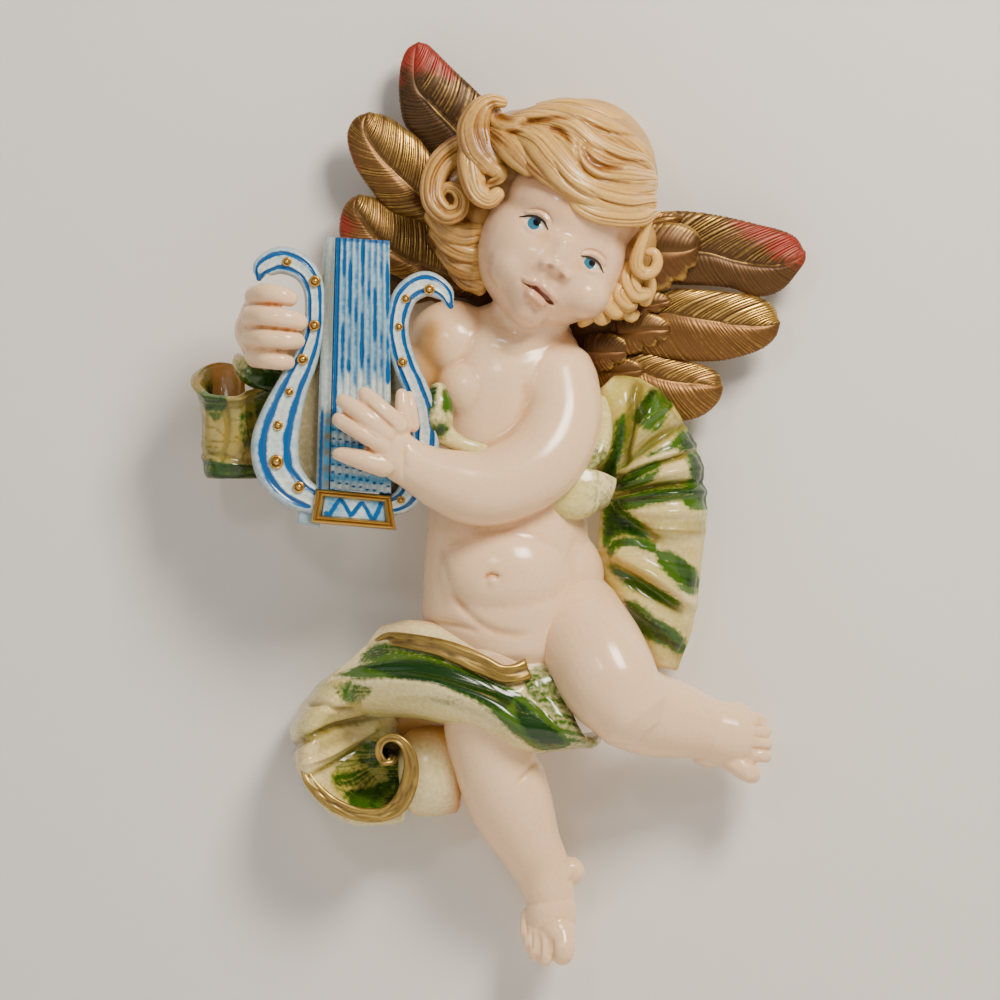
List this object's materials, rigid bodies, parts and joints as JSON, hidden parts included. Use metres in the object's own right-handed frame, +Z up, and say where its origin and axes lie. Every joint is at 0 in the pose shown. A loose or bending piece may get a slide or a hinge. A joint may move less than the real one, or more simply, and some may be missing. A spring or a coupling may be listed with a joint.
{
  "type": "cherub wall plaque",
  "caption": "Moulded winged cherub that hangs flat on a wall, leaning its head as it plays a small lyre, with swirling cloth and spread feathered wings.",
  "frame": {"origin": "on the flat back between the shoulders, where the plaque hangs on the wall", "axes": "+Z up, +Y into the wall, so the figure faces -Y"},
  "size_m": [0.2221, 0.0641, 0.3338],
  "materials": {
    "painted_moulding": "glossy hand-painted moulding, ivory skin, honey hair, green, blue and gold details",
    "antique_gold": "antiqued bronze-gold paint with brushed highlights and red tips"
  },
  "bodies": {
    "root": {"cherub_figure": "painted_moulding", "left_wing": "antique_gold", "right_wing": "antique_gold"}
  },
  "joints": []
}
